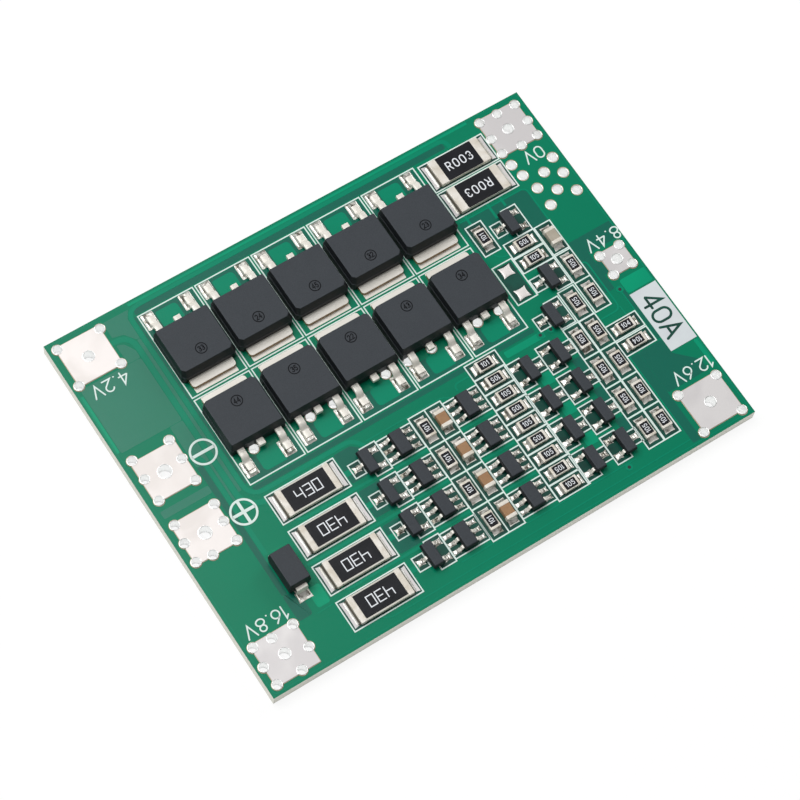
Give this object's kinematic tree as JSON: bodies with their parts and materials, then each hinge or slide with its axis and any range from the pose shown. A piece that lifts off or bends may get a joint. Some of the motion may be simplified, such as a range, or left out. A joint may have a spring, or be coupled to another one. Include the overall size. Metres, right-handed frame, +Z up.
{
  "type": "battery management board",
  "caption": "Bare green circuit board that balances and protects a pack of cells in series, with power transistors, shunts, bleed resistors and tinned wire pads.",
  "frame": {"origin": "centre of the board's underside", "axes": "+X along the board's length, towards the shunts; +Y across it, towards the back row of power transistors; +Z up out of the side that carries the parts"},
  "size_m": [0.06, 0.045, 0.0039],
  "materials": {
    "board": "green solder mask",
    "tin": "tinned satin",
    "lead_tin": "tinned and soldered",
    "mould": "matt moulded",
    "resistor_coat": "glazed",
    "capacitor_ceramic": "fired ceramic"
  },
  "bodies": {
    "root": {"bleed_resistor_1_body": "resistor_coat", "bleed_resistor_2_body": "resistor_coat", "bleed_resistor_3_body": "resistor_coat", "bleed_resistor_4_body": "resistor_coat", "bleed_resistor_end_caps": "lead_tin", "channel_1_monitor_bodies": "mould", "channel_1_monitor_leads": "lead_tin", "channel_1_transistor_bodies": "mould", "channel_2_monitor_bodies": "mould", "channel_2_monitor_leads": "lead_tin", "channel_2_transistor_bodies": "mould", "channel_3_monitor_bodies": "mould", "channel_3_monitor_leads": "lead_tin", "channel_3_transistor_bodies": "mould", "channel_4_monitor_bodies": "mould", "channel_4_monitor_leads": "lead_tin", "channel_4_transistor_bodies": "mould", "chip_capacitor_bodies": "capacitor_ceramic", "chip_capacitor_end_caps": "lead_tin", "chip_resistor_bodies": "resistor_coat", "chip_resistor_end_caps": "lead_tin", "circuit_board": "board", "diode_body": "mould", "diode_leads": "lead_tin", "driver_transistor_bodies": "mould", "power_transistor_10_body": "mould", "power_transistor_10_leads": "lead_tin", "power_transistor_1_body": "mould", "power_transistor_1_leads": "lead_tin", "power_transistor_2_body": "mould", "power_transistor_2_leads": "lead_tin", "power_transistor_3_body": "mould", "power_transistor_3_leads": "lead_tin", "power_transistor_4_body": "mould", "power_transistor_4_leads": "lead_tin", "power_transistor_5_body": "mould", "power_transistor_5_leads": "lead_tin", "power_transistor_6_body": "mould", "power_transistor_6_leads": "lead_tin", "power_transistor_7_body": "mould", "power_transistor_7_leads": "lead_tin", "power_transistor_8_body": "mould", "power_transistor_8_leads": "lead_tin", "power_transistor_9_body": "mould", "power_transistor_9_leads": "lead_tin", "shunt_1_body": "resistor_coat", "shunt_2_body": "resistor_coat", "shunt_end_caps": "lead_tin", "small_transistor_leads": "lead_tin", "spare_pads": "tin", "wire_pad_0v": "tin", "wire_pad_12v6": "tin", "wire_pad_16v8": "tin", "wire_pad_4v2": "tin", "wire_pad_8v4": "tin", "wire_pad_minus": "tin", "wire_pad_plus": "tin"}
  },
  "joints": []
}
